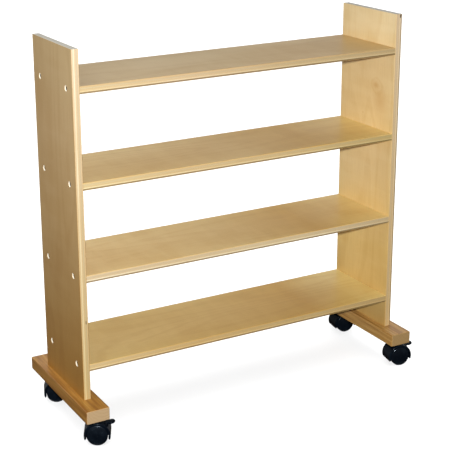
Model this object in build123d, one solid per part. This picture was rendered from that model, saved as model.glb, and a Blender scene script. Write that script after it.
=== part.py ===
from build123d import *
import math
import os

# Book cart in its own frame, in millimetres: +X to the right, +Y to the back, +Z up.
# The origin is on the floor, under the middle of the cart's overall box.

# ---- driving dimensions ----
overall_width = 914.0      # outer face to outer face of the side panels
board = 18.0               # plywood thickness of panels and shelves
depth = 232.0              # panels and shelves, front to back
panel_height = 857.0
edge_round = 0.8           # eased plywood edges

# The right brake lever reaches further out than any caster does on the left, and the front
# hoods further forward than the feet reach back, so the boards' middle isn't at the origin.
cart_middle_x = -9.2
cart_middle_y = 5.4

lowest_shelf = 90.0        # top of the lowest shelf above the foot's top
shelf_pitch = 227.0
shelf_count = 4

foot_width = 60.0
foot_height = 33.0
foot_length = 356.0
foot_round = 2.0

caster_height = 63.0       # floor to the underside of the foot
front_stem_y = -150.0
rear_stem_y = 107.0

screw_y = 78.0             # shelf screws, either side of the middle
screw_counterbore_radius = 7.5
screw_counterbore_depth = 5.8
screw_head_radius = 7.0
screw_head_height = 2.6
screw_radius = 3.0
screw_length = 44.0        # below the head
foot_screw_ys = (-80.0, 0.0, 80.0)
foot_counterbore_depth = 9.0
foot_screw_length = 58.0
hex_key = 4.0
pilot_gap = 0.05           # radial room round each screw shank
clearance_gap = 0.3        # radial room where a screw passes a board freely

wheel_radius = 26.0
wheel_inner_face = 9.2     # from the caster's middle plane
wheel_outer_face = 25.2    # the middle of the domed face
rim_thickness = 3.5
hub_radius = 7.5
trail = 8.0                # from the stem's axis to the axle
axle_radius = 3.0
axle_half_length = 19.5
running_gap = 0.05

hood_radius = 32.5
hood_inner_radius = 27.2
hood_half_width = 24.0
hood_tip_angle = 21.0      # how far the hood's ends reach below the axle
hood_bevel = 7.0           # how much sooner the hood ends on its inside
hood_round = 2.6
web_half_width = 8.8
web_core_radius = 21.0     # the web's disc round the axle
web_reach = 30.0           # its fan meets the hood from below the axle's level upwards
web_tip_angle = 12.0
boss_radius = 8.7

stem_radius = 5.0          # inside the housing
grip_radius = 5.6          # inside the foot's socket
collar_radius = 8.0
collar_height = 2.0
collar_gap = 0.3
socket_inner_radius = 5.75
socket_outer_radius = 6.5
socket_depth = 24.0
socket_flange_radius = 10.0
socket_flange_height = 1.5

lever_pin_angle = 50.0     # the pin's place on the hood, above the axle's level
lever_pin_radius = 1.25
lever_hub_radius = 3.7
lever_hub_half_width = 16.0
lever_nose_reach = 4.3     # from the pin to the end of the brake nose
lever_nose_radius = 1.2
lever_slot_angles = (35.0, 60.0)  # the hood's opening for the lever
lever_neck_half_width = 6.5
lever_end_radius = 10.0    # the round end that a toe presses
lever_thickness = 5.0
lever_round = 2.0
lever_tilt = 10.0          # the released lever rises towards its tip
lever_travel = 20.0
lever_tip_x = 51.0         # from the stem's axis
brake_gap = 0.3            # left between the nose and the tread when it is pressed

# ---- worked out from them ----
foot_top = caster_height + foot_height
panel_x = (overall_width - board) / 2
shelf_length = overall_width - 2 * board
shelf_tops = [foot_top + lowest_shelf + i * shelf_pitch for i in range(shelf_count)]
axle_height = wheel_radius
lever_pin_reach = wheel_radius + lever_nose_reach + brake_gap
lever_pin_x = trail + lever_pin_reach * math.cos(math.radians(lever_pin_angle))
lever_pin_z = axle_height + lever_pin_reach * math.sin(math.radians(lever_pin_angle))
slot_half_width = lever_hub_half_width + 0.5

# Each caster: side of the cart, stem position front to back, heading of its trail, brake
casters = {
    "front_left": (-1, front_stem_y, -27.0, True),
    "front_right": (1, front_stem_y, -12.0, True),
    "rear_left": (-1, rear_stem_y, -21.0, False),
    "rear_right": (1, rear_stem_y, -9.0, False),
}


def rod(radius, start, end):
    """A cylinder from one point to another, given as (x, y, z)."""
    line = Vector(*end) - Vector(*start)
    base = Plane(origin=start, z_dir=line)
    return extrude(base * Circle(radius), amount=line.length)


def polar(radius, degrees):
    """A point of the caster's side view, measured from the axle."""
    a = math.radians(degrees)
    return (trail + radius * math.cos(a), axle_height + radius * math.sin(a))


def across(sketch, half_width):
    """A side view made solid, equally to both sides of the caster's middle plane."""
    return extrude(Plane.XZ * sketch, amount=half_width, both=True)


# ---- boards ----
def shelf_screw_points():
    """Where the shelf screws cross a side panel, as (y, z)."""
    return [(y, top - board / 2) for top in shelf_tops for y in (-screw_y, screw_y)]


def side_panel(side):
    panel = Pos(side * panel_x, 0, foot_top + panel_height / 2) * Box(board, depth, panel_height)
    bottom = panel.edges().group_by(Axis.Z)[0]
    eased = [e for e in panel.edges() if e not in bottom and abs(e.tangent_at(0.5).X) < 0.5]
    panel = fillet(eased, edge_round)
    outer = side * overall_width / 2
    inner = side * (overall_width / 2 - board)
    seat = outer - side * screw_counterbore_depth
    for y, z in shelf_screw_points():
        panel -= rod(screw_counterbore_radius, (outer + side, y, z), (seat, y, z))
        panel -= rod(screw_radius + clearance_gap, (seat, y, z), (inner - side, y, z))
    pilot_end = caster_height + foot_counterbore_depth + foot_screw_length + 1
    for y in foot_screw_ys:
        x = side * panel_x
        panel -= rod(screw_radius + pilot_gap, (x, y, foot_top - 1), (x, y, pilot_end))
    return panel


def shelf(top):
    half = shelf_length / 2
    plank = Pos(0, 0, top - board / 2) * Box(shelf_length, depth, board)
    plank = fillet(plank.edges().filter_by(Axis.X), edge_round)
    pilot_depth = screw_counterbore_depth + screw_length - board + 1
    for side in (-1, 1):
        for y in (-screw_y, screw_y):
            mouth = (side * (half + 1), y, top - board / 2)
            end = (side * (half - pilot_depth), y, top - board / 2)
            plank -= rod(screw_radius + pilot_gap, mouth, end)
    return plank


def foot(side):
    x = side * panel_x
    runner = Pos(x, 0, caster_height + foot_height / 2) * Box(foot_width, foot_length, foot_height)
    runner = fillet(runner.edges(), foot_round)
    seat = caster_height + foot_counterbore_depth
    for y in foot_screw_ys:
        runner -= rod(screw_counterbore_radius, (x, y, caster_height - 1), (x, y, seat))
        runner -= rod(screw_radius + clearance_gap, (x, y, seat), (x, y, foot_top + 1))
    socket_top = caster_height + socket_depth + 1
    for y in (front_stem_y, rear_stem_y):
        bore = socket_outer_radius + pilot_gap
        runner -= rod(bore, (x, y, caster_height - 1), (x, y, socket_top))
    return runner


# ---- screws ----
def screw(length):
    """A flat-headed screw with its seat at the origin and its point towards +Z."""
    head = Pos(0, 0, -screw_head_height / 2) * Cylinder(screw_head_radius, screw_head_height)
    head = fillet(head.edges().group_by(Axis.Z)[0], 0.6)
    key = Pos(0, 0, -screw_head_height) * RegularPolygon(hex_key / 2, 6, major_radius=False)
    head -= extrude(key, amount=screw_head_height - 1.0)
    point = 5.0
    shank = Pos(0, 0, (length - point) / 2) * Cylinder(screw_radius, length - point)
    tip = Pos(0, 0, length - point / 2) * Cone(screw_radius, 0.4, point)
    return head + shank + tip


def shelf_screws(side):
    seat = side * (overall_width / 2 - screw_counterbore_depth)
    one = screw(screw_length)
    return [Pos(seat, y, z) * Rot(0, -side * 90, 0) * one for y, z in shelf_screw_points()]


def foot_screws(side):
    seat = caster_height + foot_counterbore_depth
    one = screw(foot_screw_length)
    return [Pos(side * panel_x, y, seat) * one for y in foot_screw_ys]


# ---- caster pieces, with the stem's axis on Z and the trail towards +X ----
def socket():
    """A pressed sleeve in the foot, with a flange against its underside."""
    sleeve_top = caster_height + socket_depth
    sleeve = rod(socket_outer_radius, (0, 0, caster_height), (0, 0, sleeve_top))
    flange_bottom = caster_height - socket_flange_height
    flange = rod(socket_flange_radius, (0, 0, flange_bottom), (0, 0, caster_height))
    flange = fillet(flange.edges().group_by(Axis.Z)[0], 0.5)
    return sleeve + flange - rod(socket_inner_radius, (0, 0, flange_bottom), (0, 0, sleeve_top))


ring_groove_bottom = caster_height + 15.0
ring_groove_height = 3.0
ring_groove_radius = 4.6
collar_top = caster_height - socket_flange_height - 0.1
collar_bottom = collar_top - collar_height
boss_top = collar_bottom - collar_gap
stem_bottom = 34.0
stem_groove_bottom = 38.0
stem_groove_height = 2.4
stem_groove_radius = 4.2


def stem():
    """The stem: a grip end for the socket, a collar, and a pivot end for the housing."""
    grip_top = caster_height + 22.0
    grip = rod(grip_radius, (0, 0, collar_top), (0, 0, grip_top))
    grip = chamfer(grip.edges().group_by(Axis.Z)[-1], 1.2)
    groove_top = ring_groove_bottom + ring_groove_height
    groove = rod(grip_radius + 1, (0, 0, ring_groove_bottom), (0, 0, groove_top))
    groove -= rod(ring_groove_radius, (0, 0, ring_groove_bottom), (0, 0, groove_top))
    collar = rod(collar_radius, (0, 0, collar_bottom), (0, 0, collar_top))
    pivot = rod(stem_radius, (0, 0, stem_bottom), (0, 0, collar_bottom))
    pivot = chamfer(pivot.edges().group_by(Axis.Z)[0], 0.8)
    neck_top = stem_groove_bottom + stem_groove_height
    neck = rod(stem_radius + 1, (0, 0, stem_groove_bottom), (0, 0, neck_top))
    neck -= rod(stem_groove_radius, (0, 0, stem_groove_bottom), (0, 0, neck_top))
    return (grip - groove) + collar + (pivot - neck)


def grip_ring():
    """A split spring ring in the stem's groove."""
    low = ring_groove_bottom + 0.2
    high = ring_groove_bottom + ring_groove_height - 0.2
    ring = rod(socket_inner_radius - 0.03, (0, 0, low), (0, 0, high))
    ring -= rod(ring_groove_radius + 0.05, (0, 0, low), (0, 0, high))
    split = Pos(grip_radius, 0, (low + high) / 2) * Box(grip_radius, 3.0, high - low + 1)
    return ring - split


def hood():
    """The fender over both wheels: an arch with pointed ends."""
    tip = hood_tip_angle
    outline = [
        ThreePointArc(polar(hood_radius, -tip), polar(hood_radius, 90), polar(hood_radius, 180 + tip)),
        Line(polar(hood_radius, 180 + tip), polar(hood_inner_radius, 180 + tip - hood_bevel)),
        ThreePointArc(
            polar(hood_inner_radius, 180 + tip - hood_bevel),
            polar(hood_inner_radius, 90),
            polar(hood_inner_radius, hood_bevel - tip),
        ),
        Line(polar(hood_inner_radius, hood_bevel - tip), polar(hood_radius, -tip)),
    ]
    arch = across(make_face(Wire(outline)), hood_half_width)
    rims = [
        e for e in arch.edges().filter_by(GeomType.CIRCLE)
        if abs(e.radius - hood_radius) < 0.01
    ]
    return fillet(rims, hood_round)


def web():
    """The solid between the wheels: it carries the axle, the hood and the stem's boss."""
    right_end = polar(web_reach, -web_tip_angle)
    left_end = polar(web_reach, 180 + web_tip_angle)
    fan = make_face(Wire([
        Line(polar(0, 0), right_end),
        ThreePointArc(right_end, polar(web_reach, 90), left_end),
        Line(left_end, polar(0, 0)),
    ]))
    core = Pos(trail, axle_height) * Circle(web_core_radius)
    return across(fan, web_half_width) + across(core, web_half_width)


def housing(braked):
    body = hood() + web()
    body += rod(boss_radius, (0, 0, axle_height), (0, 0, boss_top))
    bore = stem_radius + 0.06
    bore_bottom = stem_bottom - 0.4
    lip_bottom = stem_groove_bottom + 0.5
    lip_top = stem_groove_bottom + stem_groove_height - 0.5
    body -= rod(bore, (0, 0, lip_top), (0, 0, boss_top + 1))
    body -= rod(bore, (0, 0, bore_bottom), (0, 0, lip_bottom))
    body -= rod(stem_groove_radius + 0.15, (0, 0, lip_bottom), (0, 0, lip_top))
    hole = axle_radius + 0.02
    body -= rod(hole, (trail, -web_half_width - 1, axle_height), (trail, web_half_width + 1, axle_height))
    if braked:
        low, high = lever_slot_angles
        middle = (low + high) / 2
        floor = wheel_radius - 0.4
        beyond = hood_radius + 10
        gap = make_face(Wire([
            ThreePointArc(polar(floor, low), polar(floor, middle), polar(floor, high)),
            Line(polar(floor, high), polar(beyond, high)),
            ThreePointArc(polar(beyond, high), polar(beyond, middle), polar(beyond, low)),
            Line(polar(beyond, low), polar(floor, low)),
        ]))
        body -= across(gap, slot_half_width)
        pin_end = hood_half_width - 1.8
        pin_hole = lever_pin_radius + 0.02
        body -= rod(pin_hole, (lever_pin_x, -pin_end, lever_pin_z), (lever_pin_x, pin_end, lever_pin_z))
    return body


def axle():
    pin = rod(axle_radius, (trail, -axle_half_length, axle_height), (trail, axle_half_length, axle_height))
    return chamfer(pin.edges().filter_by(GeomType.CIRCLE), 0.5)


def wheel():
    """A wheel moulded as a cup, open towards the caster's middle, on the +Y side."""
    a = wheel_inner_face
    rim = wheel_radius - rim_thickness
    floor = 21.0
    shoulder = 1.0
    crown = 2.0
    crown_face = 22.9
    hub_end = axle_half_length + 0.5
    bore = axle_radius + running_gap
    rise = wheel_outer_face - crown_face
    dome_radius = ((wheel_radius - crown) ** 2 + rise**2) / (2 * rise)
    halfway = wheel_radius / 2
    dome_halfway = wheel_outer_face - dome_radius + math.sqrt(dome_radius**2 - halfway**2)
    profile = Wire([
        Line((bore, a), (hub_radius, a)),
        Line((hub_radius, a), (hub_radius, floor)),
        Line((hub_radius, floor), (rim, floor)),
        Line((rim, floor), (rim, a)),
        Line((rim, a), (wheel_radius - shoulder, a)),
        Line((wheel_radius - shoulder, a), (wheel_radius, a + shoulder)),
        Line((wheel_radius, a + shoulder), (wheel_radius, crown_face - crown)),
        ThreePointArc(
            (wheel_radius, crown_face - crown),
            (wheel_radius - 0.6, crown_face - 0.6),
            (wheel_radius - crown, crown_face),
        ),
        ThreePointArc(
            (wheel_radius - crown, crown_face),
            (halfway, dome_halfway),
            (0, wheel_outer_face),
        ),
        Line((0, wheel_outer_face), (0, hub_end)),
        Line((0, hub_end), (bore, hub_end)),
        Line((bore, hub_end), (bore, a)),
    ])
    turned = revolve(make_face(profile), Axis.Y)
    return Pos(trail, 0, axle_height) * turned


def brake_pin():
    end = hood_half_width - 2.0
    return rod(lever_pin_radius, (lever_pin_x, -end, lever_pin_z), (lever_pin_x, end, lever_pin_z))


def brake_lever():
    """A toe lever on its pin, released: a tongue with a round end, and a nose above the treads."""
    w = lever_hub_half_width
    hub = rod(lever_hub_radius, (0, -w, 0), (0, w, 0))
    nose_angle = math.radians(180 + lever_pin_angle + lever_travel)
    nose_x = (lever_nose_reach - lever_nose_radius) * math.cos(nose_angle)
    nose_z = (lever_nose_reach - lever_nose_radius) * math.sin(nose_angle)
    nose = rod(lever_nose_radius, (nose_x, -w, nose_z), (nose_x, w, nose_z))
    length = (lever_tip_x - lever_pin_x) / math.cos(math.radians(lever_tilt))
    end_x = length - lever_end_radius
    neck = Pos(end_x / 2, 0) * Rectangle(end_x, 2 * lever_neck_half_width)
    outline = neck + Pos(end_x, 0) * Circle(lever_end_radius)
    tongue = extrude(outline, amount=lever_thickness / 2, both=True)
    rim = [e for e in tongue.edges() if e.center().X > 0.5 and abs(e.tangent_at(0.5).Z) < 0.5]
    tongue = fillet(rim, lever_round)
    lever = hub + nose + Rot(0, -lever_tilt, 0) * tongue
    lever -= rod(lever_pin_radius + running_gap, (0, -w - 1, 0), (0, w + 1, 0))
    return Pos(lever_pin_x, 0, lever_pin_z) * lever


def caster_nodes(place, side, stem_y, heading, braked):
    """All of one caster's nodes by name, turned to its heading and put under its foot."""
    here = Pos(side * panel_x, stem_y, 0) * Rot(0, 0, heading)
    pieces = {
        "caster_socket": socket(),
        "caster_grip_ring": grip_ring(),
        "caster_stem": stem(),
        "caster_housing": housing(braked),
        "caster_axle": axle(),
        "caster_back_wheel": wheel(),
        "caster_front_wheel": mirror(wheel(), about=Plane.XZ),
    }
    if braked:
        pieces["caster_brake_pin"] = brake_pin()
        pieces["caster_brake_lever"] = brake_lever()
    return {f"{place}_{name}": here * piece for name, piece in pieces.items()}


# ---- the whole cart ----
nodes = {}
for name, side in (("left", -1), ("right", 1)):
    nodes[f"{name}_side_panel"] = side_panel(side)
    nodes[f"{name}_foot"] = foot(side)
    nodes[f"{name}_shelf_screws"] = Compound(shelf_screws(side))
    nodes[f"{name}_foot_screws"] = Compound(foot_screws(side))
for name, top in zip(("bottom", "lower_middle", "upper_middle", "top"), shelf_tops):
    nodes[f"{name}_shelf"] = shelf(top)
for place, (side, stem_y, heading, braked) in casters.items():
    nodes.update(caster_nodes(place, side, stem_y, heading, braked))
middle = Pos(cart_middle_x, cart_middle_y, 0)
nodes = {name: middle * piece for name, piece in nodes.items()}

os.makedirs("parts", exist_ok=True)
for name, piece in nodes.items():
    export_step(piece, f"parts/{name}.step")
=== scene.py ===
import math

import bpy
from mathutils import Matrix, Vector


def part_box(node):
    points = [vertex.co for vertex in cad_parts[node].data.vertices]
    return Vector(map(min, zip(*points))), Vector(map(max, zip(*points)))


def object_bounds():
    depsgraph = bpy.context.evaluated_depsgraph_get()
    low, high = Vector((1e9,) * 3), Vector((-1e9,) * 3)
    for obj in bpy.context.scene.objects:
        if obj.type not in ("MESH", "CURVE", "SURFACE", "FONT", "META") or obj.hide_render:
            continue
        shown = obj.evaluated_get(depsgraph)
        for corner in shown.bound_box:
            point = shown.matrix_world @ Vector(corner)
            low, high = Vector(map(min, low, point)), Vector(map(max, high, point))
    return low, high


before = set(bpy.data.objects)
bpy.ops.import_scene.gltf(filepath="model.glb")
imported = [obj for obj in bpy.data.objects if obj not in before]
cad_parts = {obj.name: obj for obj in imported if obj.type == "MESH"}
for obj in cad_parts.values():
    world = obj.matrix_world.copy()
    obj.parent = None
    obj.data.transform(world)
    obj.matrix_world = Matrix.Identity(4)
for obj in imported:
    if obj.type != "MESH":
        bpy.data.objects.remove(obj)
cad_low, cad_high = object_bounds()
scene = bpy.context.scene

MM = 0.001
X, Y, Z = range(3)

# ---- the view ----
CAMERA_PLACE = (-1.4971, -2.6022, 1.4618)  # from the floor below the boards' middle
CAMERA_AZIMUTH = -27.77     # degrees, turned about Z from looking along +Y
CAMERA_ELEVATION = 16.77    # degrees of looking down
CAMERA_ROLL = -0.74
LENS = 98.3                 # mm
SENSOR = 36.0               # mm across
SHIFT = (0.1, -0.1044)

# ---- the light round the cart ----
SWEEP_LIGHT = 0.62          # the pale sweep behind the cart
ROOM_LIGHT = 0.12           # the dim room in front of it
SWEEP_TINT = (0.94, 0.98, 1.0)
FLOOR_TINT = (0.10, 0.06, 0.03)
SEEN_WHITE = 1.05           # the plain white that the camera sees instead

# ---- the floor ----
FLOOR_REACH = 30.0          # metres from the middle to each side
FLOOR_FILL = 3.75           # the floor's own light without shadows,
FLOOR_SOFT = 0.8            # and the little of it that makes the cart's soft shadow
FLOOR_LIGHT_SPREAD = 70     # degrees
FLOOR_PALE = (0.80, 0.80, 0.80)
FLOOR_LIGHTER = (0.83, 0.83, 0.83)

# ---- the lamps for the cart: metres, watts, and places from the cart's middle ----
FLASH = dict(size=0.07, power=115.0, colour=(1.0, 0.985, 0.96))
FLASH_ABOVE_CAMERA = 0.075
FLASH_AIM_HEIGHT = 0.55     # above the frame's origin
CASTER_GLINT = dict(size=0.30, power=260.0, colour=(0.75, 0.88, 1.0))
GLINT_ABOVE_CAMERA = 0.30
SOFTBOX = dict(size=1.1, power=5.0, colour=(0.94, 0.97, 1.0))
SOFTBOX_PLACE = (-1.25, -0.25, 1.35)
SIDE_FILL = dict(size=1.2, power=11.0, colour=(1.0, 0.98, 0.95))
SIDE_FILL_PLACE = (2.4, 0.7, 0.7)

# ---- how the plywood is made up ----
FACE_VENEER = 0.7 * MM
INNER_PLIES = 5
GLUE_LINE = 0.16 * MM
BORE_CLEAR_OF_RIM = 3 * MM  # ply seen further in than this is the wall of a screw hole
VENEER_RINGS = 15           # contour lines in the veneer's slow noise, from 0 to 1

# ---- the boards ----
# The tones tint a face veneer in even steps from the board's low end to its high end: upwards
# on a panel, from left to right on a shelf. The edge tones tint the inner plies in the same way.
# The tones are partly the wood's own colour and partly painted light: darker and browner towards
# the floor, paler and greyer towards the top, shelf edges darker from left to right as painted
# light fall-off, and on the three lower shelves a bright last step that is painted bounce light
# from the right panel.
# A dark ply is (its number from the board's low face, how dark). Ply 4 of the right panel is
# painted shade for its eased outer edge, and ply 0 of each shelf is painted shadow along the lower
# side of its edges; the other dark plies are darker wood. Swirls and voids have their centre and
# size in metres along the board, across it and, for a void, through it.
PANELS = {
    "left": dict(
        tint_and_painted_light_steps=[(0.53, 0.34, 0.09), (0.64, 0.50, 0.28), (0.77, 0.68, 0.53),
               (0.80, 0.73, 0.63), (0.73, 0.67, 0.54)],
        edge_tint_and_painted_light_steps=[(0.85, 0.86, 0.70), (0.93, 0.97, 0.94), (1.06, 1.17, 1.36)],
        dark_and_shaded_plies=[(3, 0.35)],
        voids=[dict(centre=(0.20, 0.0, 0.0125), size=(0.005, 0.004, 0.0010))],
    ),
    "right": dict(
        tint_and_painted_light_steps=[(0.80, 0.71, 0.45), (1.08, 1.07, 0.80), (1.12, 1.17, 1.16),
               (1.15, 1.19, 1.17), (1.13, 1.24, 1.42)],
        edge_tint_and_painted_light_steps=[(0.95, 0.92, 0.76), (0.96, 0.97, 0.93), (1.03, 1.07, 1.15)],
        swirls=[
            dict(centre=(0.660, 0.076), size=(0.011, 0.016), lift=0.07, darkness=0.5),
            dict(centre=(0.618, 0.058), size=(0.040, 0.034), lift=0.05, darkness=0.40),
            dict(centre=(0.576, 0.129), size=(0.003, 0.002), lift=0.02, darkness=0.6),
        ],
        # Ply 4 is painted shade for the eased outer edge; ply 1 is a darker ply of wood.
        dark_and_shaded_plies=[(1, 0.25), (4, 0.6)],
        voids=[dict(centre=(0.852, 0.0, 0.0135), size=(0.006, 0.004, 0.0018))],
    ),
}
SHELVES = {
    "bottom_shelf": dict(
        tint_and_painted_light_steps=[(0.95, 0.91, 0.56), (0.93, 0.86, 0.49), (0.93, 0.84, 0.45),
               (0.85, 0.68, 0.20), (1.22, 1.35, 1.10)],
        edge_tint_and_painted_light_steps=[(1.00, 1.02, 0.90), (0.90, 0.83, 0.61), (0.86, 0.83, 0.64), (0.80, 0.76, 0.57)],
    ),
    "lower_middle_shelf": dict(
        tint_and_painted_light_steps=[(1.20, 1.18, 0.95), (1.16, 1.15, 0.90), (1.10, 1.08, 0.80),
               (0.93, 0.77, 0.26), (1.22, 1.30, 1.10)],
        edge_tint_and_painted_light_steps=[(1.00, 1.08, 1.18), (0.97, 1.02, 1.05), (0.99, 1.06, 1.08), (0.89, 0.93, 0.91)],
    ),
    "upper_middle_shelf": dict(
        tint_and_painted_light_steps=[(1.18, 1.15, 0.84), (1.12, 1.06, 0.75), (1.07, 1.00, 0.68),
               (0.98, 0.83, 0.30), (1.22, 1.27, 0.97)],
        edge_tint_and_painted_light_steps=[(0.97, 1.02, 0.93), (0.91, 0.91, 0.82), (0.92, 0.93, 0.80), (0.81, 0.84, 0.62)],
    ),
    "top_shelf": dict(
        tint_and_painted_light_steps=[(0.88, 0.85, 0.76), (0.89, 0.84, 0.73), (0.91, 0.85, 0.70),
               (0.97, 0.88, 0.70), (0.90, 0.82, 0.62)],
        edge_tint_and_painted_light_steps=[(0.95, 0.99, 0.94), (0.94, 0.96, 0.98), (0.83, 0.85, 0.79), (0.81, 0.82, 0.73)],
    ),
}
# Ply 0 is painted shadow along the lower side of a shelf's edges; ply 3 is a darker ply of wood.
SHELF_DARK_AND_SHADED_PLIES = [(0, 0.85), (3, 0.30)]

# ---- the feet: one tint along the grain and one on the end grain ----
FEET = {
    "left": dict(tone=(0.94, 0.78, 0.44), end_tone=(1.0, 1.04, 1.09), seed=1, pith=(22 * MM, -34 * MM)),
    "right": dict(tone=(1.10, 1.08, 0.98), end_tone=(0.86, 0.82, 0.66), seed=4, pith=(34 * MM, -34 * MM)),
}
RING_STEP = 3.6 * MM


def srgb(r, g, b):
    """A colour given as 0 to 255 display values, as the linear colour a shader takes."""
    def linear(v):
        v /= 255
        return v / 12.92 if v <= 0.04045 else ((v + 0.055) / 1.055) ** 2.4
    return (linear(r), linear(g), linear(b))


# ---- colours ----
VENEER = dict(
    pale=srgb(228, 200, 150), warm=srgb(214, 182, 128), late=srgb(204, 166, 104), flow=srgb(219, 188, 134),
    fibre=srgb(188, 148, 90), dash=srgb(156, 112, 60), flame=srgb(242, 220, 178), eye=srgb(190, 138, 66),
)
# The bore colour is paler raw wood, painted near white besides, as a painted highlight on the lit walls of
# the screw holes.
CORE = dict(
    long_pale=srgb(240, 220, 184), long_warm=srgb(226, 198, 152), pore=srgb(198, 164, 122),
    # The dark ply colour serves both for darker plies of wood and for painted shade.
    end=srgb(220, 190, 148), patch=srgb(208, 172, 124), dark_and_shaded_ply=srgb(138, 112, 78), glue=srgb(120, 84, 50),
    # The greyish end colour is a painted sheen on board ends that face up.
    painted_sheen_on_top_end=srgb(202, 206, 202), bore=srgb(252, 244, 226), void=srgb(58, 36, 20),
)
RUNNER = dict(
    pale=srgb(196, 154, 92), warm=srgb(180, 136, 72), light_streak=srgb(218, 182, 118),
    dark_streak=srgb(134, 88, 40), late=srgb(140, 94, 44), fibre=srgb(132, 88, 42), vessel=srgb(92, 56, 24),
    end_early=srgb(192, 162, 122), end_late=srgb(160, 124, 84), end_pore=srgb(126, 92, 58),
)
NYLON = dict(
    black=(0.0010, 0.0016, 0.0026), lighter=(0.0022, 0.0034, 0.0050),
    scratch=(0.012, 0.014, 0.018), dust=(0.05, 0.047, 0.042),
)
OXIDE = dict(black=(0.018, 0.017, 0.016), lighter=(0.045, 0.042, 0.038), bare=(0.17, 0.16, 0.15))
ZINC = dict(grey=(0.52, 0.53, 0.54), lighter=(0.62, 0.63, 0.63), grime=(0.30, 0.29, 0.27))


# ------------------------------------------------------------------ node graphs
class Graph:
    """A material's node tree, with one short call for each kind of node."""

    def __init__(self, name):
        self.material = bpy.data.materials.new(name)
        self.material.use_nodes = True
        self.tree = self.material.node_tree
        self.tree.nodes.clear()
        self.shader = self.tree.nodes.new("ShaderNodeBsdfPrincipled")
        out = self.tree.nodes.new("ShaderNodeOutputMaterial")
        self.tree.links.new(self.shader.outputs[0], out.inputs[0])
        self.coords = self.tree.nodes.new("ShaderNodeTexCoord")

    def put(self, socket, value):
        """Link a socket to another node's output, or set it to a constant."""
        if isinstance(value, bpy.types.NodeSocket):
            self.tree.links.new(value, socket)
        elif value is not None:
            socket.default_value = value

    def math(self, operation, a, b=None, clamp=False):
        n = self.tree.nodes.new("ShaderNodeMath")
        n.operation = operation
        n.use_clamp = clamp
        for socket, value in zip(n.inputs, (a, b)):
            self.put(socket, value)
        return n.outputs[0]

    def add(self, a, b):
        return self.math("ADD", a, b)

    def sub(self, a, b):
        return self.math("SUBTRACT", a, b)

    def mul(self, a, b):
        return self.math("MULTIPLY", a, b)

    def vector(self, operation, a, b):
        n = self.tree.nodes.new("ShaderNodeVectorMath")
        n.operation = operation
        self.put(n.inputs[0], a)
        self.put(n.inputs[1], b)
        return n.outputs[0]

    def combine(self, x, y, z):
        n = self.tree.nodes.new("ShaderNodeCombineXYZ")
        for socket, value in zip(n.inputs, (x, y, z)):
            self.put(socket, value)
        return n.outputs[0]

    def separate(self, v):
        n = self.tree.nodes.new("ShaderNodeSeparateXYZ")
        self.put(n.inputs[0], v)
        return n.outputs[0], n.outputs[1], n.outputs[2]

    def noise(self, v, scale=1.0, detail=2.0, roughness=0.5):
        n = self.tree.nodes.new("ShaderNodeTexNoise")
        self.put(n.inputs["Vector"], v)
        n.inputs["Scale"].default_value = scale
        n.inputs["Detail"].default_value = detail
        n.inputs["Roughness"].default_value = roughness
        return n.outputs["Fac"]

    def cells(self, v, scale=1.0, output="Distance"):
        n = self.tree.nodes.new("ShaderNodeTexVoronoi")
        self.put(n.inputs["Vector"], v)
        n.inputs["Scale"].default_value = scale
        return n.outputs[output]

    def remap(self, value, low, high, to_low=0.0, to_high=1.0):
        n = self.tree.nodes.new("ShaderNodeMapRange")
        n.interpolation_type = "SMOOTHSTEP"
        n.clamp = True
        for socket, v in zip(n.inputs, (value, low, high, to_low, to_high)):
            self.put(socket, v)
        return n.outputs[0]

    def mix(self, factor, a, b, blend="MIX"):
        n = self.tree.nodes.new("ShaderNodeMix")
        n.data_type = "RGBA"
        n.blend_type = blend
        self.put(n.inputs["Factor"], factor)
        colours = [s for s in n.inputs if s.type == "RGBA"]
        for socket, value in zip(colours, (a, b)):
            if isinstance(value, tuple):
                value = (*value, 1.0)[:4]
            self.put(socket, value)
        return next(s for s in n.outputs if s.type == "RGBA")

    def ramp(self, value, colours):
        """Even stops of colour, from value 0 to value 1."""
        n = self.tree.nodes.new("ShaderNodeValToRGB")
        stops = n.color_ramp.elements
        while len(stops) < len(colours):
            stops.new(0.5)
        for number, colour in enumerate(colours):
            stops[number].position = number / (len(colours) - 1)
            stops[number].color = (*colour, 1.0)
        self.put(n.inputs[0], value)
        return n.outputs[0]

    def blend_value(self, factor, a, b):
        n = self.tree.nodes.new("ShaderNodeMix")
        n.data_type = "FLOAT"
        floats = [s for s in n.inputs if s.type == "VALUE"]
        for socket, value in zip(floats, (factor, a, b)):
            self.put(socket, value)
        return next(s for s in n.outputs if s.type == "VALUE")

    def bump(self, height, distance, strength):
        n = self.tree.nodes.new("ShaderNodeBump")
        n.inputs["Strength"].default_value = strength
        n.inputs["Distance"].default_value = distance
        self.put(n.inputs["Height"], height)
        return n.outputs[0]

    def finish(self, colour, roughness, normal=None, **constants):
        """Fill in the shader. A constant has its socket's name, with _ for each space."""
        self.put(self.shader.inputs["Base Color"], colour)
        self.put(self.shader.inputs["Roughness"], roughness)
        if normal is not None:
            self.put(self.shader.inputs["Normal"], normal)
        for name, value in constants.items():
            self.shader.inputs[name.replace("_", " ")].default_value = value
        return self.material


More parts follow.
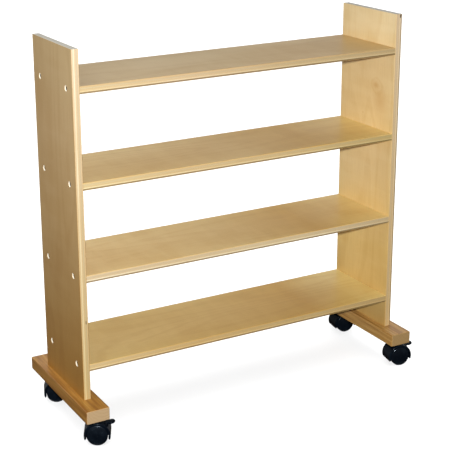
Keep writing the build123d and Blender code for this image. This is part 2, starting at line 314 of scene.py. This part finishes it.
# ------------------------------------------------------------------ materials
class Board:
    """A board's own coordinates in its material's graph, in metres from its low corner.

    s runs along the grain of the face, c across it and t through the board. The seed moves the
    textures, so that no two boards look cut from the same place."""

    def __init__(self, g, node, along, across, seed):
        axes = (along, across, 3 - along - across)
        low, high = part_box(node)
        place = g.separate(g.coords.outputs["Object"])
        normal = g.separate(g.coords.outputs["Normal"])
        self.g = g
        self.seed = seed
        self.length, self.width, self.thickness = (high[axis] - low[axis] for axis in axes)
        self.s, self.c, self.t = (g.sub(place[axis], low[axis]) for axis in axes)
        self.normal_along, self.normal_across = normal[along], normal[across]
        self.shifted = [g.add(self.s, seed * 3.7), g.add(self.c, seed * 1.3), g.add(self.t, seed * 0.9)]
        self.part_way = g.mul(self.s, 1 / self.length)

    def stretched(self, along, across, through):
        """Coordinates for a texture, with its scale given per metre in each direction."""
        scales = (along, across, through)
        return self.g.combine(*(self.g.mul(place, scale) for place, scale in zip(self.shifted, scales)))

    def off_centre(self, centre, size):
        """The squared distance from a spot's centre, counted in the spot's own sizes."""
        g = self.g
        total = None
        for place, middle, reach in zip((self.s, self.c, self.t), centre, size):
            offset = g.mul(g.sub(place, middle), 1 / reach)
            square = g.mul(offset, offset)
            total = square if total is None else g.add(total, square)
        return total


def veneer_rings(board, swirls):
    """The late wood of the rings, and the dark eyes of the swirls that they close round."""
    g = board.g
    wander = g.noise(board.stretched(2.2, 9.0, 2.0), detail=3.0, roughness=0.45)
    height = g.noise(board.stretched(0.75, 4.6, 0.0), detail=2.0, roughness=0.4)
    height = g.add(height, g.mul(wander, 0.10))
    eyes = []
    for swirl in swirls:
        off = board.off_centre(swirl["centre"], swirl["size"])
        hill = g.math("POWER", math.e, g.mul(off, -0.3))
        height = g.add(height, g.mul(hill, swirl["lift"]))
        eyes.append(g.mul(g.math("POWER", math.e, g.mul(off, -1.6)), swirl["darkness"]))
    rings = g.math("SINE", g.mul(height, 2 * math.pi * VENEER_RINGS))
    return g.remap(rings, 0.15, 1.0), eyes


def veneer_colour(board, cloud, fibre, dash, swirls, tint_and_painted_light_steps):
    """Rotary-cut birch, where the rings show as the contour lines of a slow noise."""
    g = board.g
    late, eyes = veneer_rings(board, swirls)
    flow = g.noise(board.stretched(5.0, 60.0, 10.0), detail=3.0, roughness=0.6)
    flame = g.noise(board.stretched(26.0, 7.0, 4.0), detail=2.0, roughness=0.5)
    colour = g.mix(g.remap(cloud, 0.3, 0.72), VENEER["pale"], VENEER["warm"])
    colour = g.mix(g.mul(late, 0.30), colour, VENEER["late"])
    colour = g.mix(g.mul(g.remap(flow, 0.35, 0.7), 0.30), colour, VENEER["flow"])
    colour = g.mix(g.mul(g.remap(fibre, 0.42, 0.66), 0.18), colour, VENEER["fibre"])
    colour = g.mix(g.mul(dash, 0.22), colour, VENEER["dash"])
    colour = g.mix(g.mul(g.remap(flame, 0.4, 0.65), 0.12), colour, VENEER["flame"])
    for eye in eyes:
        colour = g.mix(eye, colour, VENEER["eye"])
    # The tones multiply in the wood's tint together with painted light: fall-off towards the floor, and
    # painted bounce light near the right panel.
    return g.mix(1.0, colour, g.ramp(board.part_way, tint_and_painted_light_steps), "MULTIPLY")


class Plies:
    """Where the inner plies are, and what is seen of them on the edges and in the screw holes."""

    def __init__(self, board):
        g = board.g
        ply = (board.thickness - 2 * FACE_VENEER) / INNER_PLIES
        self.depth = g.mul(g.sub(board.t, FACE_VENEER), 1 / ply)
        self.index = g.math("FLOOR", self.depth)
        within = g.math("FRACT", self.depth)
        near_line = g.math("MINIMUM", within, g.sub(1.0, within))
        self.glue = g.remap(near_line, 0.0, GLUE_LINE / ply, 1.0, 0.0)
        crossed = g.remap(g.math("PINGPONG", self.index, 1.0), 0.4, 0.6, 1.0, 0.0)
        lengthwise = g.math("ABSOLUTE", board.normal_along)
        crosswise = g.math("ABSOLUTE", board.normal_across)
        self.end_grain = g.blend_value(crossed, lengthwise, crosswise)
        streak_long = g.noise(board.stretched(10.0, 300.0, 1400.0), detail=2.0, roughness=0.6)
        streak_cross = g.noise(board.stretched(300.0, 10.0, 1400.0), detail=2.0, roughness=0.6)
        self.streak = g.blend_value(crossed, streak_long, streak_cross)
        self.pores = g.cells(board.stretched(1900.0, 1900.0, 1900.0))
        above_low_face = g.remap(self.depth, 0.0, 0.02)
        below_high_face = g.remap(self.depth, INNER_PLIES - 0.02, INNER_PLIES, 1.0, 0.0)
        self.inside = g.mul(above_low_face, below_high_face)


def in_a_bore(board):
    """Away from all four rims of the board, where inner plies only show in a screw hole."""
    g = board.g
    clear = []
    for place, size in ((board.s, board.length), (board.c, board.width)):
        to_rim = g.math("MINIMUM", place, g.sub(size, place))
        clear.append(g.remap(to_rim, BORE_CLEAR_OF_RIM, 2 * BORE_CLEAR_OF_RIM))
    return g.mul(*clear)


def ply_colour(board, plies, edge_tint_and_painted_light_steps, dark_and_shaded_plies):
    """Long grain and end grain in turn, with dark glue lines, dark plies that are partly painted shade, a
    painted sheen on ends that face up, and paler raw wood in the screw holes, painted near white as a
    painted highlight.
    """
    g = board.g
    place = (g.mul(plies.index, 7.31), g.add(board.seed * 5.1, g.mul(board.s, 0.9)), g.mul(board.c, 0.9))
    patch = g.noise(g.combine(*place), detail=1.0)
    long_wood = g.mix(g.remap(plies.streak, 0.35, 0.7), CORE["long_pale"], CORE["long_warm"])
    end_wood = g.mix(g.remap(plies.pores, 0.1, 0.5), CORE["pore"], CORE["end"])
    colour = g.mix(g.remap(plies.end_grain, 0.3, 0.8), long_wood, end_wood)
    colour = g.mix(g.mul(g.remap(patch, 0.35, 0.68), 0.3), colour, CORE["patch"])
    # Dark plies: darker plies of wood, and plies painted dark as painted shade.
    for number, darkness in dark_and_shaded_plies:
        here = g.remap(g.math("ABSOLUTE", g.sub(plies.index, float(number))), 0.3, 0.6, 1.0, 0.0)
        colour = g.mix(g.mul(here, darkness), colour, CORE["dark_and_shaded_ply"])
    colour = g.mix(g.mul(plies.glue, 0.6), colour, CORE["glue"])
    # The edge tones multiply in the wood's tint together with painted light fall-off along the board.
    colour = g.mix(1.0, colour, g.ramp(board.part_way, edge_tint_and_painted_light_steps), "MULTIPLY")
    # Painted sheen: ends that face up (a panel's top edge, a shelf's right end) are greyed, standing in for
    # light glancing off them.
    painted_sheen_on_top_end = g.remap(board.normal_along, 0.5, 0.9, 0.0, 0.5)
    colour = g.mix(painted_sheen_on_top_end, colour, CORE["painted_sheen_on_top_end"])
    # In the screw holes the wood is raw and paler, and is painted near white as a painted highlight for the
    # lit hole walls.
    return g.mix(g.mul(in_a_bore(board), 0.85), colour, CORE["bore"])


def plywood(name, node, along, across, seed, tint_and_painted_light_steps, edge_tint_and_painted_light_steps, swirls=(), dark_and_shaded_plies=(), voids=()):
    """Lacquered birch plywood: rotary-cut face veneers, and plies that turn by a right angle."""
    g = Graph(name)
    board = Board(g, node, along, across, seed)
    plies = Plies(board)
    cloud = g.noise(board.stretched(1.6, 5.0, 3.0), detail=2.0, roughness=0.5)
    fibre = g.noise(board.stretched(14.0, 520.0, 40.0), detail=3.0, roughness=0.65)
    dash = g.remap(g.noise(board.stretched(90.0, 1500.0, 40.0), detail=1.0, roughness=0.5), 0.62, 0.78)
    veneer = veneer_colour(board, cloud, fibre, dash, swirls, tint_and_painted_light_steps)
    core = ply_colour(board, plies, edge_tint_and_painted_light_steps, dark_and_shaded_plies)

    veneer_relief = g.add(g.mul(fibre, 0.5), g.mul(dash, -0.5))
    dips = g.add(g.mul(plies.glue, 0.8), g.mul(g.remap(plies.pores, 0.0, 0.25, 1.0, 0.0), plies.end_grain))
    core_relief = g.sub(g.mul(plies.streak, 0.4), dips)
    relief = g.blend_value(plies.inside, veneer_relief, core_relief)
    for void in voids:
        gap = g.remap(board.off_centre(void["centre"], void["size"]), 0.6, 1.2, 1.0, 0.0)
        core = g.mix(gap, core, CORE["void"])
        relief = g.sub(relief, g.mul(gap, 6.0))

    colour = g.mix(plies.inside, veneer, core)
    bumped = g.bump(relief, 0.06 * MM, 0.6)
    gloss = g.add(g.remap(cloud, 0.3, 0.7, 0.36, 0.44), g.mul(fibre, 0.10))
    gloss = g.add(gloss, g.mul(g.mul(plies.inside, plies.end_grain), 0.14))
    return g.finish(colour, gloss, bumped, Coat_Weight=0.22, Coat_Roughness=0.28, IOR=1.48)


def solid_wood(name, node, seed, pith, tone, end_tone):
    """Lacquered solid wood with its rings about a pith line that runs along Y.

    The pith is in metres along X and Z from the board's low corner."""
    low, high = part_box(node)
    g = Graph(name)
    x, y, z = g.separate(g.coords.outputs["Object"])
    x = g.sub(x, low[X])
    y = g.add(y, seed * 2.3)
    z = g.sub(z, low[Z])

    def stretched(across, along):
        return g.combine(g.mul(x, across), g.mul(y, along), g.mul(z, across))

    # the rings: the distance from a pith that wanders, with small waves
    drift = g.mul(g.sub(g.noise(stretched(6.0, 2.2), detail=2.0, roughness=0.5), 0.5), 16 * MM)
    rise = g.mul(g.noise(g.combine(g.mul(y, 1.7), seed, 0.0)), 12 * MM)
    dx = g.add(g.sub(x, pith[0]), drift)
    dz = g.add(g.sub(z, pith[1]), rise)
    radius = g.math("SQRT", g.add(g.mul(dx, dx), g.mul(dz, dz)))
    wobble = g.noise(stretched(60.0, 5.0), detail=3.0, roughness=0.6)
    radius = g.add(radius, g.mul(g.sub(wobble, 0.5), 2.4 * MM))
    late = g.math("POWER", g.math("FRACT", g.mul(radius, 1 / RING_STEP)), 2.6)

    fibre = g.noise(stretched(700.0, 16.0), detail=3.0, roughness=0.65)
    vessel = g.remap(g.noise(stretched(1500.0, 70.0), detail=1.0), 0.60, 0.74)
    cloud = g.noise(stretched(14.0, 3.0), detail=2.0)
    streak = g.noise(stretched(130.0, 5.0), detail=2.0, roughness=0.6)
    pores = g.cells(g.combine(g.mul(x, 1500.0), 0.0, g.mul(z, 1500.0)))
    end = g.remap(g.math("ABSOLUTE", g.separate(g.coords.outputs["Normal"])[Y]), 0.5, 0.9)

    side = g.mix(g.remap(cloud, 0.3, 0.7), RUNNER["pale"], RUNNER["warm"])
    side = g.mix(g.mul(g.remap(streak, 0.38, 0.50, 1.0, 0.0), 0.45), side, RUNNER["light_streak"])
    side = g.mix(g.mul(g.remap(streak, 0.50, 0.64), 0.55), side, RUNNER["dark_streak"])
    side = g.mix(g.mul(late, 0.50), side, RUNNER["late"])
    side = g.mix(g.mul(g.remap(fibre, 0.4, 0.68), 0.34), side, RUNNER["fibre"])
    side = g.mix(g.mul(vessel, 0.45), side, RUNNER["vessel"])
    side = g.mix(1.0, side, tone, "MULTIPLY")
    end_wood = g.mix(g.remap(late, 0.2, 0.9), RUNNER["end_early"], RUNNER["end_late"])
    end_wood = g.mix(g.mul(g.remap(pores, 0.0, 0.35, 1.0, 0.0), 0.35), end_wood, RUNNER["end_pore"])
    end_wood = g.mix(1.0, end_wood, end_tone, "MULTIPLY")
    colour = g.mix(end, side, end_wood)

    bumped = g.bump(g.sub(g.mul(fibre, 0.5), g.mul(vessel, 0.6)), 0.07 * MM, 0.6)
    gloss = g.add(g.remap(cloud, 0.3, 0.7, 0.36, 0.46), g.add(g.mul(fibre, 0.1), g.mul(end, 0.1)))
    return g.finish(colour, gloss, bumped, Coat_Weight=0.2, Coat_Roughness=0.3, IOR=1.48)


def moulded_plastic(name, low_height, seed, specular, worn=0.0):
    """Black nylon with a fine moulded skin, faint scratches, and dust near low_height."""
    g = Graph(name)
    place = g.coords.outputs["Object"]
    shifted = g.vector("ADD", place, (seed * 1.7, seed * 0.9, seed * 0.4))
    skin = g.noise(shifted, scale=2600.0, detail=2.0, roughness=0.6)
    patch = g.noise(shifted, scale=38.0, detail=3.0, roughness=0.6)
    fine = g.noise(shifted, scale=420.0, detail=3.0, roughness=0.7)
    scratch = g.noise(g.vector("MULTIPLY", shifted, (180.0, 180.0, 3000.0)), detail=2.0, roughness=0.6)
    scratch = g.remap(scratch, 0.66, 0.74)
    z = g.separate(place)[Z]
    near_floor = g.remap(z, low_height, low_height + 9 * MM, 1.0, 0.0)
    dust = g.mul(near_floor, g.remap(fine, 0.35, 0.75))
    dust = g.math("MULTIPLY", dust, worn, clamp=True)
    colour = g.mix(g.remap(patch, 0.35, 0.7), NYLON["black"], NYLON["lighter"])
    colour = g.mix(g.mul(scratch, 0.25), colour, NYLON["scratch"])
    colour = g.mix(g.mul(dust, 0.2), colour, NYLON["dust"])
    rough = g.remap(patch, 0.3, 0.75, 0.20, 0.31)
    rough = g.add(rough, g.add(g.mul(scratch, 0.15), g.mul(dust, 0.4)))
    bumped = g.bump(g.add(g.mul(skin, 0.4), g.mul(fine, 0.6)), 0.015 * MM, 0.5)
    return g.finish(colour, rough, bumped, IOR=1.45, Specular_IOR_Level=specular)


def plated_steel(name, dark=False):
    """Turned steel: bright zinc, or a black oxide with the metal showing through."""
    g = Graph(name)
    place = g.coords.outputs["Object"]
    turned = g.noise(g.vector("MULTIPLY", place, (600.0, 600.0, 4200.0)), detail=2.0, roughness=0.6)
    spangle = g.separate(g.cells(place, scale=520.0, output="Color"))[0]
    grime = g.noise(place, scale=130.0, detail=4.0, roughness=0.6)
    if dark:
        colour = g.mix(g.remap(grime, 0.35, 0.7), OXIDE["black"], OXIDE["lighter"])
        colour = g.mix(g.mul(g.remap(turned, 0.6, 0.75), 0.4), colour, OXIDE["bare"])
        rough = g.remap(grime, 0.3, 0.7, 0.34, 0.5)
        metal = 0.75
    else:
        colour = g.mix(spangle, ZINC["grey"], ZINC["lighter"])
        colour = g.mix(g.mul(g.remap(grime, 0.5, 0.75), 0.5), colour, ZINC["grime"])
        rough = g.add(g.remap(turned, 0.3, 0.7, 0.22, 0.34), g.mul(grime, 0.08))
        metal = 1.0
    bumped = g.bump(turned, 0.01 * MM, 0.4)
    return g.finish(colour, rough, bumped, Metallic=metal)


def paint(node, material):
    """Give a piece its one material."""
    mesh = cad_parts[node].data
    mesh.materials.clear()
    mesh.materials.append(material)


for number, (side, looks) in enumerate(PANELS.items()):
    paint(f"{side}_side_panel", plywood(
        f"birch_{side}_panel", f"{side}_side_panel", Z, Y, seed=1 + number, **looks,
    ))
for number, (node, looks) in enumerate(SHELVES.items()):
    paint(node, plywood(
        f"birch_{node}", node, X, Y, seed=4 + number, dark_and_shaded_plies=SHELF_DARK_AND_SHADED_PLIES, **looks,
    ))
for side, looks in FEET.items():
    paint(f"{side}_foot", solid_wood(f"wood_{side}_foot", f"{side}_foot", **looks))

steel = plated_steel("zinc_plated_steel")
oxide = plated_steel("black_oxide_steel", dark=True)
hood_plastic = moulded_plastic("black_nylon_hood", low_height=12 * MM, seed=3, specular=0.04, worn=0.6)
wheel_plastic = moulded_plastic("black_nylon_wheel", low_height=0.0, seed=8, specular=0.35, worn=1.0)
lever_plastic = moulded_plastic("black_nylon_lever", low_height=0.0, seed=14, specular=0.06)
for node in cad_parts:
    if node.endswith("_screws"):
        paint(node, oxide)
    elif node.endswith("_housing"):
        paint(node, hood_plastic)
    elif node.endswith("_wheel"):
        paint(node, wheel_plastic)
    elif node.endswith("_brake_lever"):
        paint(node, lever_plastic)
    elif "caster" in node:
        paint(node, steel)


# ------------------------------------------------------------------ studio
def floor():
    """A plain white floor. It catches light but throws none back at the cart."""
    mesh = bpy.data.meshes.new("studio_floor")
    signs = [(-1, -1), (1, -1), (1, 1), (-1, 1)]
    mesh.from_pydata([(FLOOR_REACH * x, FLOOR_REACH * y, cad_low[Z]) for x, y in signs], [], [(0, 1, 2, 3)])
    obj = bpy.data.objects.new("studio_floor", mesh)
    scene.collection.objects.link(obj)
    g = Graph("studio_floor")
    grain = g.noise(g.coords.outputs["Object"], scale=3.0, detail=2.0)
    colour = g.mix(grain, FLOOR_PALE, FLOOR_LIGHTER)
    mesh.materials.append(g.finish(colour, 0.9))
    obj.visible_diffuse = False
    obj.visible_glossy = False
    return obj


def aim(obj, place, target):
    """Put a lamp in its place and turn it to face the target."""
    back = (Vector(place) - Vector(target)).normalized()
    obj.matrix_world = Matrix.Translation(place) @ back.to_track_quat("Z", "Y").to_matrix().to_4x4()


def lamp(name, kind, power, linked, state):
    """A lamp that lights only the linked objects, or, where the state is EXCLUDE, all others."""
    data = bpy.data.lights.new(name, kind)
    data.energy = power
    obj = bpy.data.objects.new(name, data)
    scene.collection.objects.link(obj)
    receivers = bpy.data.collections.new(f"{name}_receivers")
    for receiver in linked:
        receivers.objects.link(receiver)
    for member in receivers.collection_objects:
        member.light_linking.link_state = state
    obj.light_linking.receiver_collection = receivers
    return obj


def area_light(name, place, target, size, power, colour, only=None):
    """A square lamp for the cart, or for only some of its pieces. It leaves the floor alone."""
    if only is None:
        obj = lamp(name, "AREA", power, [studio_floor], "EXCLUDE")
    else:
        obj = lamp(name, "AREA", power, only, "INCLUDE")
    obj.data.shape = "SQUARE"
    obj.data.size = size
    obj.data.color = colour
    aim(obj, place, target)
    return obj


def floor_light(name, strength, casts_shadow):
    """A broad light for the floor alone, so that the floor is as white as a studio's."""
    obj = lamp(name, "SUN", strength, [studio_floor], "INCLUDE")
    obj.data.angle = math.radians(FLOOR_LIGHT_SPREAD)
    obj.data.use_shadow = casts_shadow


def surroundings():
    """A pale sweep behind the cart and a dim room in front, over a dark brown floor.

    The camera itself sees plain white."""
    world = bpy.data.worlds.new("studio")
    scene.world = world
    world.use_nodes = True
    tree = world.node_tree
    tree.nodes.clear()

    def node(kind, **inputs):
        n = tree.nodes.new(kind)
        for name, value in inputs.items():
            n.inputs[name.replace("_", " ")].default_value = value
        return n

    def smooth(value, low, high, to_low, to_high):
        n = node("ShaderNodeMapRange", From_Min=low, From_Max=high, To_Min=to_low, To_Max=to_high)
        n.interpolation_type = "SMOOTHSTEP"
        tree.links.new(value, n.inputs[0])
        return n.outputs[0]

    direction = node("ShaderNodeTexCoord").outputs["Generated"]
    split = node("ShaderNodeSeparateXYZ")
    tree.links.new(direction, split.inputs[0])
    height = smooth(split.outputs[Z], -0.50, -0.05, 0.0, 1.0)
    behind = node("ShaderNodeVectorMath")
    behind.operation = "DOT_PRODUCT"
    azimuth = math.radians(-CAMERA_AZIMUTH)
    behind.inputs[1].default_value = (math.sin(azimuth), math.cos(azimuth), 0.0)
    tree.links.new(direction, behind.inputs[0])
    sweep = smooth(behind.outputs["Value"], -0.2, 0.6, ROOM_LIGHT, SWEEP_LIGHT)
    tint = node("ShaderNodeMix")
    tint.data_type = "RGBA"
    ends = [socket for socket in tint.inputs if socket.type == "RGBA"]
    ends[0].default_value = (*FLOOR_TINT, 1.0)
    ends[1].default_value = (*SWEEP_TINT, 1.0)
    tree.links.new(height, tint.inputs["Factor"])
    dome = node("ShaderNodeBackground")
    tree.links.new(next(socket for socket in tint.outputs if socket.type == "RGBA"), dome.inputs["Color"])
    tree.links.new(sweep, dome.inputs["Strength"])
    white = node("ShaderNodeBackground", Color=(1.0, 1.0, 1.0, 1.0), Strength=SEEN_WHITE)
    path = node("ShaderNodeLightPath")
    choose = node("ShaderNodeMixShader")
    out = node("ShaderNodeOutputWorld")
    tree.links.new(path.outputs["Is Camera Ray"], choose.inputs[0])
    tree.links.new(dome.outputs[0], choose.inputs[1])
    tree.links.new(white.outputs[0], choose.inputs[2])
    tree.links.new(choose.outputs[0], out.inputs[0])


def camera(place):
    """The camera at the photo's angle."""
    data = bpy.data.cameras.new("camera")
    data.sensor_width = SENSOR
    data.lens = LENS
    data.shift_x, data.shift_y = SHIFT
    data.clip_start = 0.05
    data.clip_end = 200.0
    obj = bpy.data.objects.new("camera", data)
    scene.collection.objects.link(obj)
    turn = Matrix.Rotation(math.radians(CAMERA_AZIMUTH), 4, "Z")
    tilt = Matrix.Rotation(math.radians(90 - CAMERA_ELEVATION), 4, "X")
    roll = Matrix.Rotation(math.radians(CAMERA_ROLL), 4, "Z")
    obj.matrix_world = Matrix.Translation(place) @ turn @ tilt @ roll
    scene.camera = obj


boards_low, boards_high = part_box("top_shelf")
boards_middle = (boards_low + boards_high) / 2
middle = Vector((boards_middle.x, boards_middle.y, (cad_low[Z] + cad_high[Z]) / 2))
camera_place = Vector(CAMERA_PLACE) + Vector((boards_middle.x, boards_middle.y, cad_low[Z]))

scene.view_settings.view_transform = "Standard"
scene.view_settings.look = "None"
studio_floor = floor()
floor_light("floor_fill", FLOOR_FILL, casts_shadow=False)
floor_light("floor_soft", FLOOR_SOFT, casts_shadow=True)
flash_place = camera_place + Vector((0.0, 0.0, FLASH_ABOVE_CAMERA))
flash = area_light("flash", flash_place, (middle.x, middle.y, FLASH_AIM_HEIGHT), **FLASH)
flash.visible_glossy = False
glint_place = camera_place + Vector((0.0, 0.0, GLINT_ABOVE_CAMERA))
caster_pieces = [obj for node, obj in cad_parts.items() if "caster" in node]
area_light("caster_glint", glint_place, middle, only=caster_pieces, **CASTER_GLINT)
area_light("softbox", middle + Vector(SOFTBOX_PLACE), middle, **SOFTBOX)
area_light("side_fill", middle + Vector(SIDE_FILL_PLACE), middle, **SIDE_FILL)
surroundings()
camera(camera_place)
